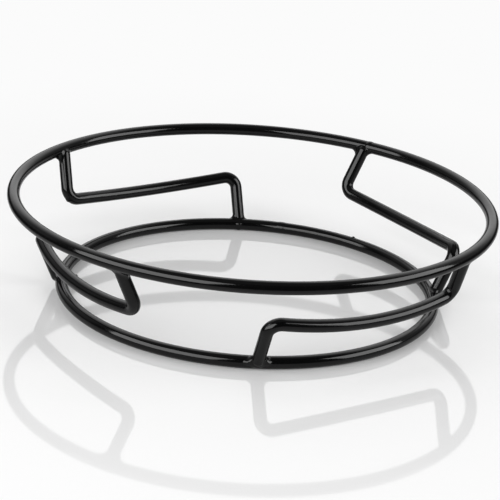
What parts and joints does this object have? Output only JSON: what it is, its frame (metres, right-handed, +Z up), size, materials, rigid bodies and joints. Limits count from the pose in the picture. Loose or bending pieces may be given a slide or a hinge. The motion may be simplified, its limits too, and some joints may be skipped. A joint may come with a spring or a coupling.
{
  "type": "wire ring stand",
  "caption": "Low round stand of gloss black welded wire: a wide ring over a narrow one, joined by cranked struts, to hold a round-bottomed pan or bowl.",
  "frame": {"origin": "on the table, under the middle of the rings", "axes": "+Z up through the middle of both rings; +Y away from the picture's viewer, +X to the viewer's right"},
  "size_m": [0.2476, 0.2476, 0.0543],
  "materials": {
    "coated_wire": "gloss black coating on round steel wire",
    "coated_weld": "gloss black coating on uneven weld metal"
  },
  "bodies": {
    "root": {"top_ring": "coated_wire", "base_ring": "coated_wire", "top_ring_seam": "coated_weld", "base_ring_seam": "coated_weld", "strut_1": "coated_wire", "strut_2": "coated_wire", "strut_3": "coated_wire", "strut_4": "coated_wire", "head_weld_1": "coated_weld", "head_weld_2": "coated_weld", "head_weld_3": "coated_weld", "head_weld_4": "coated_weld", "foot_weld_1": "coated_weld", "foot_weld_2": "coated_weld", "foot_weld_3": "coated_weld", "foot_weld_4": "coated_weld"}
  },
  "joints": []
}
